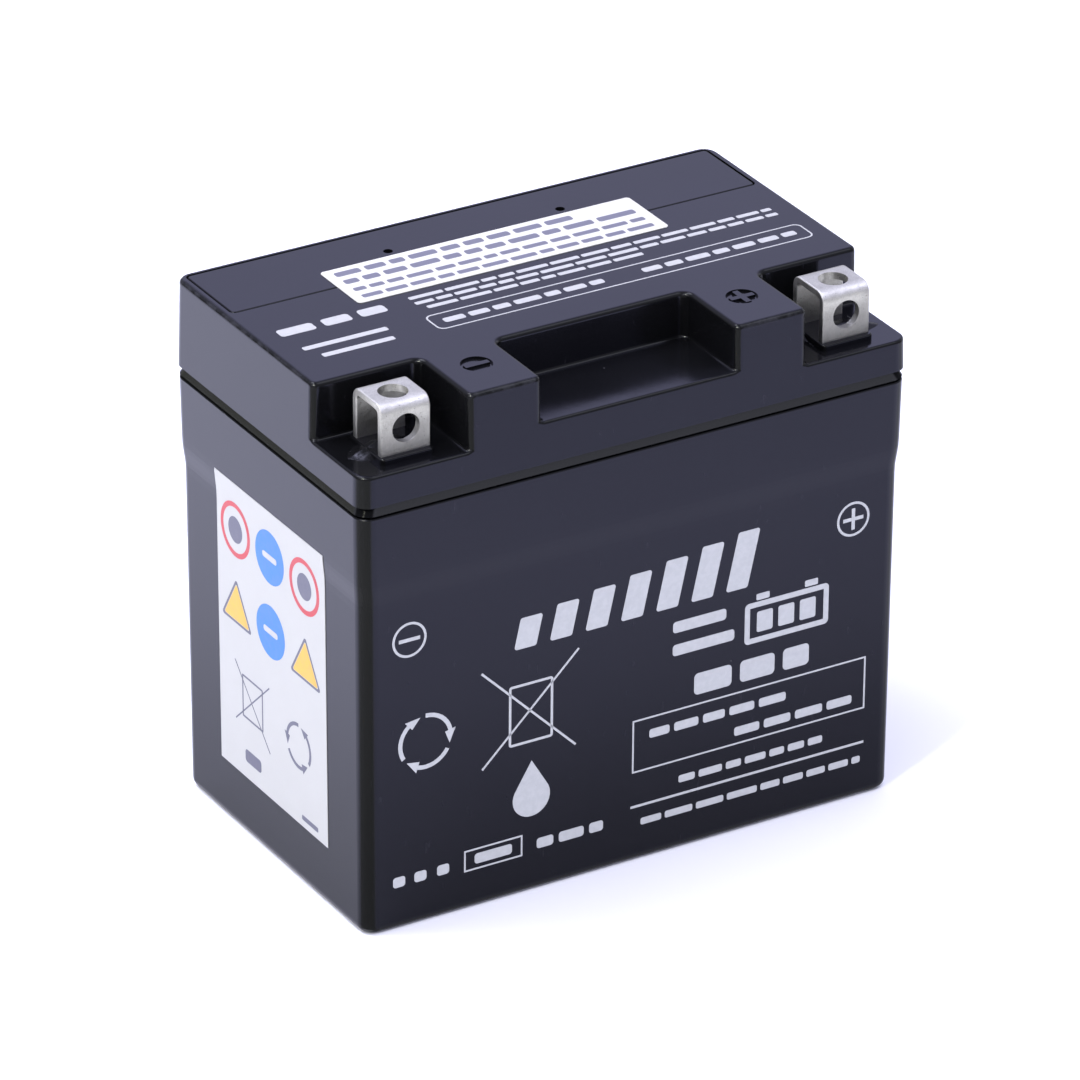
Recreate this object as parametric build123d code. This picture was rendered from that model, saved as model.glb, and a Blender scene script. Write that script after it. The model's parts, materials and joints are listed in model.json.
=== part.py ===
from build123d import *
import os

# Sealed 12 V motorcycle battery with six cells in a row, in millimetres.
# X runs along the length, Y along the width and Z up. The origin is the centre of the
# bottom face. The printed front face looks along -Y, the negative terminal is at the
# front left (-X) and the positive terminal at the front right (+X).

# ---- driving dimensions ----
LENGTH = 114.0
WIDTH = 69.5
HEIGHT = 104.0
JOINT_Z = 84.6            # weld plane between container and lid
NECK_INSET = 0.8          # how deep the thin gap over the weld plane is
CORNER_R = 3.0            # vertical outer corners
BOTTOM_R = 1.8            # bottom edge
TOP_R = 0.9               # top rim of the lid

# Outline of the case: height, and how far the wall stands in from the largest outline.
# A soft shoulder under the lid widens the container by a fraction of a millimetre.
CONTAINER_LEVELS = [
    (0.0, 1.03), (65.5, 0.74), (67.0, 0.7), (68.0, 0.62), (69.0, 0.52),
    (70.0, 0.42), (71.0, 0.34), (72.5, 0.29), (84.4, 0.13), (JOINT_Z, 0.25),
]
# The lid is welded on at a narrow neck, under a skirt that flares out to the container
NECK_LEVELS = [(JOINT_Z, NECK_INSET), (85.1, NECK_INSET)]
SKIRT_LEVELS = [(84.9, 0.3), (85.1, 0.15), (86.5, 0.9)]
LID_LEVELS = [(86.45, 0.95), (86.85, 0.0), (HEIGHT, 0.35)]

# Cells
CELLS = 6
PARTITION = 1.3           # wall between two cells
FLOOR = 2.5
INNER_LENGTH = 107.5
INNER_WIDTH = 63.0
CELL_LENGTH = (INNER_LENGTH - (CELLS - 1) * PARTITION) / CELLS
CELL_PITCH = CELL_LENGTH + PARTITION

# Terminal pockets and handle recess in the front of the lid
POCKET_INNER_X = 35.0
POCKET_BACK_Y = -17.0
POCKET_FLOOR_Z = 92.9
RECESS_HALF = 20.0
RECESS_BACK_Y = -17.3
RECESS_FLOOR_Z = 95.1
POCKET_CORNER_R = 2.0     # inside corners
BLOCK_CORNER_R = 1.4      # outside corners between the pockets
FLOOR_EDGE_R = 0.6        # front lip of the pocket and recess floors
LID_WALL = 2.2
LID_FLOOR = 1.5           # pocket floor over the cast-in pad

# Terminal bracket: a strip bent to an upside-down U, open to the left and right
TERMINAL_X = 45.6
TERMINAL_Y = -25.6
TERMINAL_WIDTH = 10.0
TERMINAL_DEPTH = 10.2
TERMINAL_SHEET = 1.4
TERMINAL_BEND_R = 2.2
TERMINAL_HOLE_R = 2.75
TERMINAL_EDGE_R = 0.3
FRONT_HOLE_Z = 98.8
TOP_HOLE_Y = -26.1
PLINTH_RISE = 1.2
PLINTH_MARGIN_X = 0.4
PLINTH_MARGIN_Y = 1.0
PLINTH_EDGE_R = 0.35
PAD_THICKNESS = 1.5
POST_R = 3.5
RESIN_BOTTOM_Z = 87.5
WELL_WALL = 1.4

# Polarity marks on top of the blocks: a bar or a cross left standing in a sunk disc
MARK_X = 27.5
MARK_Y = -24.1
MARK_R = 2.95
MARK_LINE = 1.15
MARK_BAR = 4.9
MARK_DEPTH = 0.45

# Gas channel at the back of the lid, its cover strip and what it holds
COVER_FRONT_Y = 15.1
COVER_BACK_Y = 33.2
COVER_HALF = 55.2
COVER_THICKNESS = 2.0
COVER_GAP = 0.3           # seam around the cover
COVER_CORNER_R = 1.2
COVER_EDGE_R = 0.3
COVER_LEDGE = 1.5         # width of the ledge that carries the cover
DECK_TOP_Z = 94.0
DECK_THICKNESS = 2.0
VALVE_Y = 24.0
NECK_R = 2.75
NECK_BORE_R = 1.5
NECK_TOP_Z = 99.0
VALVE_R = 4.0
VALVE_CLEARANCE = 0.05
VALVE_SKIRT_Z = 94.8
VALVE_TOP_Z = 101.0
VENT_R = 0.9
ARRESTOR_R = 3.5
ARRESTOR_THICKNESS = 2.3
ARRESTOR_RING = 0.7

# Plates and lead parts in each cell
POSITIVE_PLATES = 3
POSITIVE_THICKNESS = 1.9
NEGATIVE_PLATES = 4
NEGATIVE_THICKNESS = 1.3
SEPARATOR_THICKNESS = 0.85
PLATE_WIDTH = 58.0
PLATE_BOTTOM_Z = 4.0
PLATE_TOP_Z = 68.0
SEPARATOR_WIDTH = 61.0
SEPARATOR_TOP_Z = 70.0
LUG_Y = 20.0
LUG_WIDTH = 9.0
STRAP_BOTTOM_Z = 76.0
STRAP_TOP_Z = 80.0
STRAP_LENGTH = 15.0
STRAP_WIDTH = 12.0
TAB_THICKNESS = 2.5
TAB_WIDTH = 10.0
TAB_TOP_Z = 84.0
WELD_R = 3.0
WELD_Z = 80.5

# Labels
LABEL_THICKNESS = 0.12
SIDE_LABEL_Y = (-20.3, 19.7)
SIDE_LABEL_Z = (12.2, 71.7)
TOP_LABEL_X = (-33.5, 31.5)
TOP_LABEL_Y = (7.4, 22.0)
TOP_LABEL_CORNER_R = 0.8


def box(x, y, z):
    """Box from three (low, high) pairs."""
    size = [high - low for low, high in (x, y, z)]
    centre = [(high + low) / 2 for low, high in (x, y, z)]
    return Pos(*centre) * Box(*size)


def cylinder(x, y, z, radius):
    """Upright cylinder between two heights."""
    return Pos(x, y, (z[0] + z[1]) / 2) * Cylinder(radius, z[1] - z[0])


def ordered(a, b):
    """The two values as a (low, high) pair."""
    return (min(a, b), max(a, b))


def wall_inset(z):
    """How far the container wall stands in at one height."""
    for (z0, inset0), (z1, inset1) in zip(CONTAINER_LEVELS, CONTAINER_LEVELS[1:]):
        if z0 <= z <= z1:
            return inset0 + (inset1 - inset0) * (z - z0) / (z1 - z0)
    return 0.0


def drafted_block(levels):
    """Block with rounded corners whose outline changes from level to level."""
    outlines = []
    for z, inset in levels:
        outline = RectangleRounded(LENGTH - 2 * inset, WIDTH - 2 * inset, CORNER_R)
        outlines.append(Plane.XY.offset(z) * outline)
    return loft(outlines, ruled=True)


def floor_lips(solid, z):
    """Level edges at one height where a floor meets the front or an end of the lid."""
    found = []
    for edge in solid.edges():
        middle = edge @ 0.5
        level = abs((edge @ 0).Z - z) < 0.01 and abs((edge @ 1).Z - z) < 0.01
        on_front = middle.Y < -WIDTH / 2 + 1.2
        on_end = abs(middle.X) > LENGTH / 2 - 1.2
        if level and (on_front or on_end):
            found.append(edge)
    return found


def edges_near(solid, points, z_low):
    """Upright edges of the solid whose middle stands above z_low near one of the points."""
    found = []
    for edge in solid.edges():
        middle = edge @ 0.5
        upright = abs((edge % 0.5).Z) > 0.9
        close = any(abs(middle.X - x) < 1.5 and abs(middle.Y - y) < 1.5 for x, y in points)
        if upright and close and middle.Z > z_low:
            found.append(edge)
    return found


def cell_x(cell):
    """Middle of a cell along the length."""
    return (cell - (CELLS - 1) / 2) * CELL_PITCH


def front_is_negative(cell):
    """The cells alternate, so every second one has its negative lugs at the front."""
    return cell % 2 == 0


# ---- case ----

def make_container():
    body = drafted_block(CONTAINER_LEVELS)
    body = fillet(body.edges().group_by(Axis.Z)[0], BOTTOM_R)
    for cell in range(CELLS):
        x = cell_x(cell)
        half = CELL_LENGTH / 2
        body -= box((x - half, x + half), (-INNER_WIDTH / 2, INNER_WIDTH / 2), (FLOOR, JOINT_Z + 1))
    for cell in range(CELLS - 1):
        body -= weld_cylinder(cell)
    return body


def pocket_cutter(side):
    """Space over a terminal pocket floor, open to the front, the end and the top."""
    reach = 20.0
    length = LENGTH / 2 - POCKET_INNER_X + reach
    depth = WIDTH / 2 + POCKET_BACK_Y + reach
    plan = RectangleRounded(length, depth, POCKET_CORNER_R)
    x = side * (POCKET_INNER_X + length / 2)
    y = POCKET_BACK_Y - depth / 2
    return Pos(x, y, POCKET_FLOOR_Z) * extrude(plan, HEIGHT)


def recess_cutter():
    """Space over the handle recess floor, open to the front and the top."""
    reach = 20.0
    depth = WIDTH / 2 + RECESS_BACK_Y + reach
    plan = RectangleRounded(2 * RECESS_HALF, depth, POCKET_CORNER_R)
    return Pos(0, RECESS_BACK_Y - depth / 2, RECESS_FLOOR_Z) * extrude(plan, HEIGHT)


def lid_outside():
    """Lid from the skirt up, with its pockets, its handle recess and its rounded edges."""
    body = drafted_block(LID_LEVELS)
    body -= pocket_cutter(-1)
    body -= pocket_cutter(1)
    body -= recess_cutter()
    front = -WIDTH / 2 + 0.2
    end = LENGTH / 2 - 0.2
    corners = []
    for side in (-1, 1):
        corners.append((side * POCKET_INNER_X, front))
        corners.append((side * RECESS_HALF, front))
        corners.append((side * end, POCKET_BACK_Y))
    body = fillet(edges_near(body, corners, POCKET_FLOOR_Z + 1), BLOCK_CORNER_R)
    lips = floor_lips(body, POCKET_FLOOR_Z) + floor_lips(body, RECESS_FLOOR_Z)
    body = fillet(lips, FLOOR_EDGE_R)
    top_face = body.faces().sort_by(Axis.Z)[-1]
    body = fillet(top_face.edges(), TOP_R)
    return body + drafted_block(SKIRT_LEVELS) + drafted_block(NECK_LEVELS)


def under_regions():
    """Hollows on the underside of the lid: x range, y range and ceiling height."""
    front = (-WIDTH / 2 + LID_WALL + 0.05, RECESS_BACK_Y + LID_WALL + 0.3)
    middle = (front[1], COVER_FRONT_Y - 2.0)
    rear = (middle[1], INNER_WIDTH / 2)
    end = INNER_LENGTH / 2
    block_out = POCKET_INNER_X - LID_WALL
    block_in = RECESS_HALF + LID_WALL
    block_top = HEIGHT - LID_WALL
    regions = [((-end, end), middle, block_top)]
    regions.append(((-end, end), rear, DECK_TOP_Z - DECK_THICKNESS))
    regions.append(((-block_in, block_in), front, RECESS_FLOOR_Z - 2.0))
    for side in (-1, 1):
        regions.append((ordered(side * block_in, side * block_out), front, block_top))
        regions.append((ordered(side * block_out, side * end), front, POCKET_FLOOR_Z - LID_FLOOR))
    return regions


def make_lid():
    body = lid_outside()
    for cell in range(CELLS):
        low = cell_x(cell) - CELL_LENGTH / 2
        high = cell_x(cell) + CELL_LENGTH / 2
        for (x0, x1), y, ceiling in under_regions():
            if min(high, x1) - max(low, x0) > 0.1:
                body -= box((max(low, x0), min(high, x1)), y, (JOINT_Z - 1, ceiling))
    for side in (-1, 1):
        body += well_wall(side)
        body += plinth(side)
        body -= bracket_legs(side)
        body -= polarity_mark(side)
    # Gas channel, with the ledge that carries the cover strip
    channel_x = COVER_HALF - COVER_LEDGE
    channel_y = (COVER_FRONT_Y + COVER_LEDGE, COVER_BACK_Y - COVER_LEDGE)
    body -= box((-channel_x, channel_x), channel_y, (DECK_TOP_Z, HEIGHT + 1))
    body -= cover_plate(0, COVER_THICKNESS + 1)
    for cell in range(CELLS):
        x = cell_x(cell)
        body += cylinder(x, VALVE_Y, (DECK_TOP_Z - 0.5, NECK_TOP_Z), NECK_R)
        body -= cylinder(x, VALVE_Y, (DECK_TOP_Z - DECK_THICKNESS - 1, NECK_TOP_Z + 1), NECK_BORE_R)
    return body


def polarity_mark(side):
    """Cutter for the sunk mark: minus on the left block, plus on the right one."""
    mark = Circle(MARK_R) - Rectangle(MARK_BAR, MARK_LINE)
    if side > 0:
        mark -= Rectangle(MARK_LINE, MARK_BAR)
    return Pos(side * MARK_X, MARK_Y, HEIGHT - MARK_DEPTH) * extrude(mark, 1)


def cover_plate(gap, thickness):
    """Rounded plate in the outline of the cover, drawn in by a gap."""
    length = 2 * (COVER_HALF - gap)
    width = COVER_BACK_Y - COVER_FRONT_Y - 2 * gap
    plan = RectangleRounded(length, width, COVER_CORNER_R - gap)
    y = (COVER_FRONT_Y + COVER_BACK_Y) / 2
    return Pos(0, y, HEIGHT - COVER_THICKNESS) * extrude(plan, thickness)


def make_cover():
    """Strip that closes the gas channel, with two vents over the flame arrestors."""
    underside = HEIGHT - COVER_THICKNESS
    body = cover_plate(COVER_GAP, COVER_THICKNESS)
    body = fillet(body.faces().sort_by(Axis.Z)[-1].edges(), COVER_EDGE_R)
    for x in vent_positions():
        ring = cylinder(x, VALVE_Y, (underside - ARRESTOR_THICKNESS, underside), ARRESTOR_R + ARRESTOR_RING)
        ring -= cylinder(x, VALVE_Y, (underside - ARRESTOR_THICKNESS, underside), ARRESTOR_R)
        body += ring
        body -= cylinder(x, VALVE_Y, (underside - 1, HEIGHT + 1), VENT_R)
    return body


def vent_positions():
    """The vents stand midway between the second and third cell from each end."""
    return [(cell_x(1) + cell_x(2)) / 2, (cell_x(3) + cell_x(4)) / 2]


def make_arrestor(x):
    underside = HEIGHT - COVER_THICKNESS
    return cylinder(x, VALVE_Y, (underside - ARRESTOR_THICKNESS, underside), ARRESTOR_R)


def make_valve(cell):
    """Rubber cap that sits over the neck of one cell and lifts to let gas out."""
    x = cell_x(cell)
    cap = cylinder(x, VALVE_Y, (VALVE_SKIRT_Z, VALVE_TOP_Z), VALVE_R)
    cap = fillet(cap.edges().group_by(Axis.Z)[-1], 0.8)
    return cap - cylinder(x, VALVE_Y, (VALVE_SKIRT_Z - 1, NECK_TOP_Z), NECK_R + VALVE_CLEARANCE)


# ---- terminals ----

def terminal_box(side, margin_x, margin_y, z):
    """Box around the bracket of one side, grown by two margins."""
    half_x = TERMINAL_WIDTH / 2 + margin_x
    half_y = TERMINAL_DEPTH / 2 + margin_y
    x = side * TERMINAL_X
    return box((x - half_x, x + half_x), (TERMINAL_Y - half_y, TERMINAL_Y + half_y), z)


def bracket_blank(side, z_bottom):
    """Bent strip without holes."""
    outer = terminal_box(side, 0, 0, (z_bottom, HEIGHT))
    outer = fillet(outer.edges().filter_by(Axis.X).group_by(Axis.Z)[-1], TERMINAL_BEND_R)
    inner_top = HEIGHT - TERMINAL_SHEET
    x = side * TERMINAL_X
    half_y = TERMINAL_DEPTH / 2 - TERMINAL_SHEET
    inner = box((x - 20, x + 20), (TERMINAL_Y - half_y, TERMINAL_Y + half_y), (z_bottom - 1, inner_top))
    inner_edges = inner.edges().filter_by(Axis.X).group_by(Axis.Z)[-1]
    inner = fillet(inner_edges, TERMINAL_BEND_R - TERMINAL_SHEET)
    return outer - inner


def bracket_legs(side):
    """The two slots that the legs fill in the pocket floor."""
    bottom = POCKET_FLOOR_Z - LID_FLOOR
    slots = bracket_blank(side, bottom)
    keep = terminal_box(side, 0, 0, (bottom, POCKET_FLOOR_Z + PLINTH_RISE))
    return slots & keep


def make_terminal(side):
    """Bracket with a bolt hole in its top and in its front leg, its long edges eased."""
    bottom = POCKET_FLOOR_Z - LID_FLOOR
    body = bracket_blank(side, bottom)
    body = fillet(body.edges().filter_by(lambda edge: on_bracket_side(edge, bottom)), TERMINAL_EDGE_R)
    x = side * TERMINAL_X
    body -= cylinder(x, TOP_HOLE_Y, (HEIGHT - 2 * TERMINAL_SHEET, HEIGHT + 1), TERMINAL_HOLE_R)
    front_y = TERMINAL_Y - TERMINAL_DEPTH / 2
    drill = Rot(90, 0, 0) * Cylinder(TERMINAL_HOLE_R, 2 * TERMINAL_SHEET)
    body -= Pos(x, front_y, FRONT_HOLE_Z) * drill
    return body


def on_bracket_side(edge, bottom):
    """True for the edges along the strip, and not for those across it or at its feet."""
    across = abs((edge % 0.5).X) > 0.9
    return not across and (edge @ 0.5).Z > bottom + 0.1


def plinth(side):
    """Low plastic step with rounded edges around the feet of the bracket."""
    z = (POCKET_FLOOR_Z - 0.5, POCKET_FLOOR_Z + PLINTH_RISE)
    step = terminal_box(side, PLINTH_MARGIN_X, PLINTH_MARGIN_Y, z)
    step = fillet(step.edges().filter_by(Axis.Z), PLINTH_MARGIN_Y)
    return fillet(step.edges().group_by(Axis.Z)[-1], PLINTH_EDGE_R)


def well_wall(side):
    """Wall that closes the resin well behind the terminal, under the pocket floor."""
    end = INNER_LENGTH / 2
    back = RECESS_BACK_Y + LID_WALL + 0.3
    x = ordered(side * (end - CELL_LENGTH), side * end)
    return box(x, (back - WELL_WALL, back), (RESIN_BOTTOM_Z, POCKET_FLOOR_Z - LID_FLOOR))


def make_post(side):
    """Lead post from the end strap to the pad that carries the bracket."""
    pad_top = POCKET_FLOOR_Z - LID_FLOOR
    pad_bottom = pad_top - PAD_THICKNESS
    post = cylinder(side * TERMINAL_X, TERMINAL_Y, (STRAP_TOP_Z, pad_bottom), POST_R)
    return post + terminal_box(side, 0, 0, (pad_bottom, pad_top))


def make_resin(side):
    """Resin that seals the post into the well."""
    end = INNER_LENGTH / 2
    x = ordered(side * (end - CELL_LENGTH), side * end)
    y = (-WIDTH / 2 + LID_WALL + 0.05, RECESS_BACK_Y + LID_WALL + 0.3 - WELL_WALL)
    body = box(x, y, (RESIN_BOTTOM_Z, POCKET_FLOOR_Z - LID_FLOOR))
    return body - make_post(side)


# ---- cells ----

def plate_positions(kind):
    """Middle of each sheet in the pack, from the middle of its cell.

    The pack runs negative, separator, positive, separator and so on."""
    thickness = {"negative": NEGATIVE_THICKNESS, "positive": POSITIVE_THICKNESS}
    order = []
    for index in range(NEGATIVE_PLATES + POSITIVE_PLATES):
        order.append("negative" if index % 2 == 0 else "positive")
        order.append("separator")
    order.pop()
    sizes = [thickness.get(name, SEPARATOR_THICKNESS) for name in order]
    x = -sum(sizes) / 2
    found = []
    for name, size in zip(order, sizes):
        if name == kind:
            found.append(x + size / 2)
        x += size
    return found


def lug_side(cell, kind):
    """-1 where the lugs of this kind stand at the front of the cell, 1 at the back."""
    at_front = front_is_negative(cell) == (kind == "negative")
    return -1 if at_front else 1


def make_plates(cell, kind, thickness):
    """All plates of one kind in a cell, each with its lug."""
    lug_y = LUG_Y * lug_side(cell, kind)
    plates = []
    for offset in plate_positions(kind):
        x = cell_x(cell) + offset
        span = (x - thickness / 2, x + thickness / 2)
        plate = box(span, (-PLATE_WIDTH / 2, PLATE_WIDTH / 2), (PLATE_BOTTOM_Z, PLATE_TOP_Z))
        lug_span = (lug_y - LUG_WIDTH / 2, lug_y + LUG_WIDTH / 2)
        plates.append(plate + box(span, lug_span, (PLATE_TOP_Z, STRAP_BOTTOM_Z)))
    return Compound(children=plates)


def make_separators(cell):
    """Glass mats between the plates of one cell."""
    mats = []
    for offset in plate_positions("separator"):
        x = cell_x(cell) + offset
        half = SEPARATOR_THICKNESS / 2
        y = (-SEPARATOR_WIDTH / 2, SEPARATOR_WIDTH / 2)
        mats.append(box((x - half, x + half), y, (FLOOR, SEPARATOR_TOP_Z)))
    return Compound(children=mats)


def make_strap(cell, kind):
    """Lead bar over the lugs, with a tab against the partition or a foot for the post."""
    x = cell_x(cell)
    y_side = lug_side(cell, kind)
    y = [LUG_Y * y_side - STRAP_WIDTH / 2, LUG_Y * y_side + STRAP_WIDTH / 2]
    toward = 1 if kind == "positive" else -1
    neighbour = cell + toward
    at_end = neighbour < 0 or neighbour >= CELLS
    if at_end:
        y[0] = TERMINAL_Y - POST_R - 1
    strap_x = (x - STRAP_LENGTH / 2, x + STRAP_LENGTH / 2)
    body = box(strap_x, y, (STRAP_BOTTOM_Z, STRAP_TOP_Z))
    if at_end:
        return body
    face = x + toward * CELL_LENGTH / 2
    tab_x = ordered(face - toward * TAB_THICKNESS, face)
    tab_y = (LUG_Y * y_side - TAB_WIDTH / 2, LUG_Y * y_side + TAB_WIDTH / 2)
    return body + box(tab_x, tab_y, (STRAP_BOTTOM_Z, TAB_TOP_Z))


def weld_cylinder(cell):
    """Weld through the partition behind a cell, from its positive tab to the next cell."""
    x = cell_x(cell) + CELL_PITCH / 2
    y = LUG_Y * lug_side(cell, "positive")
    return Pos(x, y, WELD_Z) * Rot(0, 90, 0) * Cylinder(WELD_R, PARTITION)


# ---- labels ----

def make_side_label():
    """Paper label on the left end, following the drafted wall and its step."""
    low, high = SIDE_LABEL_Z
    heights = [low]
    heights += [z for z, _ in CONTAINER_LEVELS if low < z < high]
    heights.append(high)
    wall = [(-LENGTH / 2 + wall_inset(z), z) for z in heights]
    outside = [(x - LABEL_THICKNESS, z) for x, z in reversed(wall)]
    profile = Plane.XZ * make_face(Polyline(*wall, *outside, close=True))
    label = extrude(profile, -(SIDE_LABEL_Y[1] - SIDE_LABEL_Y[0]))
    return Pos(0, SIDE_LABEL_Y[0], 0) * label


def make_top_label():
    """Sticker across the seam between the lid and the cover strip."""
    length = TOP_LABEL_X[1] - TOP_LABEL_X[0]
    width = TOP_LABEL_Y[1] - TOP_LABEL_Y[0]
    plan = RectangleRounded(length, width, TOP_LABEL_CORNER_R)
    centre = (sum(TOP_LABEL_X) / 2, sum(TOP_LABEL_Y) / 2, HEIGHT)
    return Pos(*centre) * extrude(plan, LABEL_THICKNESS)


def all_nodes():
    nodes = {
        "container": make_container(),
        "lid": make_lid(),
        "vent_cover": make_cover(),
        "negative_terminal": make_terminal(-1),
        "positive_terminal": make_terminal(1),
        "negative_post": make_post(-1),
        "positive_post": make_post(1),
        "negative_post_resin": make_resin(-1),
        "positive_post_resin": make_resin(1),
        "side_label": make_side_label(),
        "top_label": make_top_label(),
    }
    left_vent, right_vent = vent_positions()
    nodes["flame_arrestor_left"] = make_arrestor(left_vent)
    nodes["flame_arrestor_right"] = make_arrestor(right_vent)
    for cell in range(CELLS):
        number = cell + 1
        nodes[f"safety_valve_{number}"] = make_valve(cell)
        nodes[f"positive_plates_{number}"] = make_plates(cell, "positive", POSITIVE_THICKNESS)
        nodes[f"negative_plates_{number}"] = make_plates(cell, "negative", NEGATIVE_THICKNESS)
        nodes[f"separators_{number}"] = make_separators(cell)
        nodes[f"positive_strap_{number}"] = make_strap(cell, "positive")
        nodes[f"negative_strap_{number}"] = make_strap(cell, "negative")
        if number < CELLS:
            nodes[f"cell_weld_{number}_{number + 1}"] = weld_cylinder(cell)
    return nodes


os.makedirs("parts", exist_ok=True)
for name, solid in all_nodes().items():
    export_step(solid, f"parts/{name}.step")
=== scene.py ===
import json
import math
import random
import bmesh
import bpy
from mathutils import Matrix, Vector
from mathutils import noise as mathutils_noise


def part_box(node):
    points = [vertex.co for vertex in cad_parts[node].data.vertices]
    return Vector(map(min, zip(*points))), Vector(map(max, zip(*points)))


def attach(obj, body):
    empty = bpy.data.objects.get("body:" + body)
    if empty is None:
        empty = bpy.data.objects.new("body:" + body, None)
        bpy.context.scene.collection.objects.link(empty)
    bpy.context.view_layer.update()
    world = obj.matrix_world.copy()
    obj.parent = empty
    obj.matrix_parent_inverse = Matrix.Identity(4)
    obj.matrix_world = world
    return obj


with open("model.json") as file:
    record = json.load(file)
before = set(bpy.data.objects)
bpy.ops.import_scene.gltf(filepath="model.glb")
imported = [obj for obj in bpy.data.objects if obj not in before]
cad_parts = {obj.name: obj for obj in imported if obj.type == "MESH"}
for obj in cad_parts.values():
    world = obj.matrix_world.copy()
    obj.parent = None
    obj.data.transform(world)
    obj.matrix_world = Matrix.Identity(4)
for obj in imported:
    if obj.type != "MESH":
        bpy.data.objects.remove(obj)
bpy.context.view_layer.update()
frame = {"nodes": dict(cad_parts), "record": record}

# Sealed motorcycle battery, in metres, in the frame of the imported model: X along the length,
# -Y out of the printed front face, +Z up, origin at the centre of the bottom face.

MM = 0.001
NODES = frame["nodes"]

# Print on the case
INK_HEIGHT = 0.03 * MM             # how far the ink stands off the plastic
LABEL_INK_HEIGHT = 0.015 * MM
CURVE_STEPS = 8                    # straight pieces in a quarter turn of a printed corner

LONG_WORDS = (2.5, 6.5)            # shortest and longest word bar, in bar heights
MEDIUM_WORDS = (2.0, 3.6)
SHORT_WORDS = (1.8, 3.4)
RULE_LINE = 0.34                   # thin frames around captions, in millimetres

# Black plastic: tones, painted tints of its reflections, and specular levels that paint shade and glints
PLASTIC_DARK = (0.0032, 0.0033, 0.0032)
PLASTIC_LIGHT = (0.0050, 0.0051, 0.0048)
WORN_PLASTIC = (0.055, 0.055, 0.058)
SCRATCHED_PLASTIC = (0.045, 0.045, 0.05)
PALE_DUST = (0.30, 0.29, 0.28)
# painted reflection: blue tint in the shine of the faces, standing in for bluish light
FACE_REFLECTION_TINT = (0.74, 0.75, 1.0)
# painted reflection: olive tint in the shine of the roundings, standing in for a dark olive horizon
EDGE_REFLECTION_TINT = (0.96, 0.98, 0.80)
STREAKS_ALONG = (1, 6, 0.25)       # stretch of the scratches
FADE_TOP = 75 * MM                 # painted shade: the gloss fades from here down to the foot, darkening the reflections toward the floor
FOOT_SHINE = 0.29
FACE_SHINE = 0.5
EDGE_SHINE = 0.42                  # painted shade: duller shine on the roundings, as a share of the faces
SKIRT_CORNER_SHINE = 0.2           # painted shade: duller shine on the rounded corners of the skirt, as a share of the faces
SKIRT_SHINE = 0.25                 # painted reflection: shine added on the flat stretches of the skirt
CORNER_SHINE = 0.7                 # painted glint: shine added where three faces meet
SKIRT_Z = 85.65 * MM               # slanted skirt under the lid: its middle and half its height
SKIRT_HALF = 0.85 * MM

# Tones of the other materials
METAL_BRIGHT = (0.57, 0.56, 0.465)
METAL_DULL = (0.47, 0.46, 0.385)
# painted shade: tone of the metal at its foot, down in the pocket
METAL_FOOT_SHADE = (0.27, 0.265, 0.225)
METAL_GRAIN = (0.24, 0.235, 0.20)
METAL_PIT = (0.16, 0.155, 0.14)
METAL_FOOT_RISE = 8.5 * MM         # painted shade: the metal darkens over this height down to its foot in the pocket
RESIN_DARK = (0.004, 0.004, 0.004)
RESIN_LIGHT = (0.010, 0.010, 0.009)
RESIN_DUST = (0.20, 0.19, 0.18)
FIBRE_DARK = (0.62, 0.62, 0.60)
FIBRE_LIGHT = (0.86, 0.86, 0.84)
LABEL_PAPER = (0.60, 0.59, 0.45)
LABEL_FILM = (0.45, 0.45, 0.385)
LABEL_SOIL = (0.45, 0.45, 0.48)
CASE_INK = (0.465, 0.475, 0.44)
# painted shade: darker, yellower copy of the case ink for the lid, which gets more light
SHADED_LID_INK = (0.43, 0.43, 0.365)
DARK_INK = (0.13, 0.13, 0.15)
RED_INK = (0.50, 0.035, 0.04)
BLUE_INK = (0.03, 0.18, 0.46)
YELLOW_INK = (0.66, 0.40, 0.04)
GREY_INK = (0.10, 0.10, 0.13)
WHITE_INK = (0.48, 0.48, 0.42)
INK_THIN = 0.90                    # tone of thinly covered ink, as a share
INK_PINHOLE = 0.45

# Resin that stands around the feet of a terminal, as far as it reaches from its middle
RESIN_REACH = (8.0 * MM, 4.3 * MM)
RESIN_OUTWARD = 1.2 * MM
RESIN_RISE = 1.9 * MM
RESIN_LUMP = 0.32 * MM
RESIN_LUMP_SIZE = 2.6 * MM
RESIN_WANDER = 0.16                # how far the rim strays from an ellipse, as a share
RESIN_SUNK = 0.05 * MM             # how far the rim lies under the pocket floor
RESIN_FOOT = Vector((0, 0, 0.1 * MM))

# Floor, light and camera
FLOOR_DARK = (0.92, 0.92, 0.83)
FLOOR_LIGHT = (0.94, 0.94, 0.85)
FLOOR_SIZE = 30
LOW_TENT = (0.42, 0.43, 0.37)
HIGH_TENT = (1.04, 1.05, 1.56)
HORIZON = (0.97, 0.97, 1.0)
COOL_LAMP = (0.90, 0.92, 1.26)
WHITE_LAMP = (1.0, 1.0, 1.0)
CAMERA_AZIMUTH = -30.69
CAMERA_ELEVATION = 27.36
CAMERA_ROLL = 0.31
CAMERA_DISTANCE = 1.4718
CAMERA_TARGET = (0.0, 0.0, 0.0511)
CAMERA_LENS = 268.0

HALF_LENGTH, HALF_WIDTH, TOP_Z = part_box("lid")[1]
POCKET_DEPTH = 11.1 * MM           # from the top of the case to the floor under a terminal


# ---- shader building blocks ----

def new_material(name):
    """Material with an empty Principled shader; returns the material, its tree and the shader."""
    material = bpy.data.materials.new(name)
    material.use_nodes = True
    tree = material.node_tree
    return material, tree, tree.nodes["Principled BSDF"]


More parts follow.
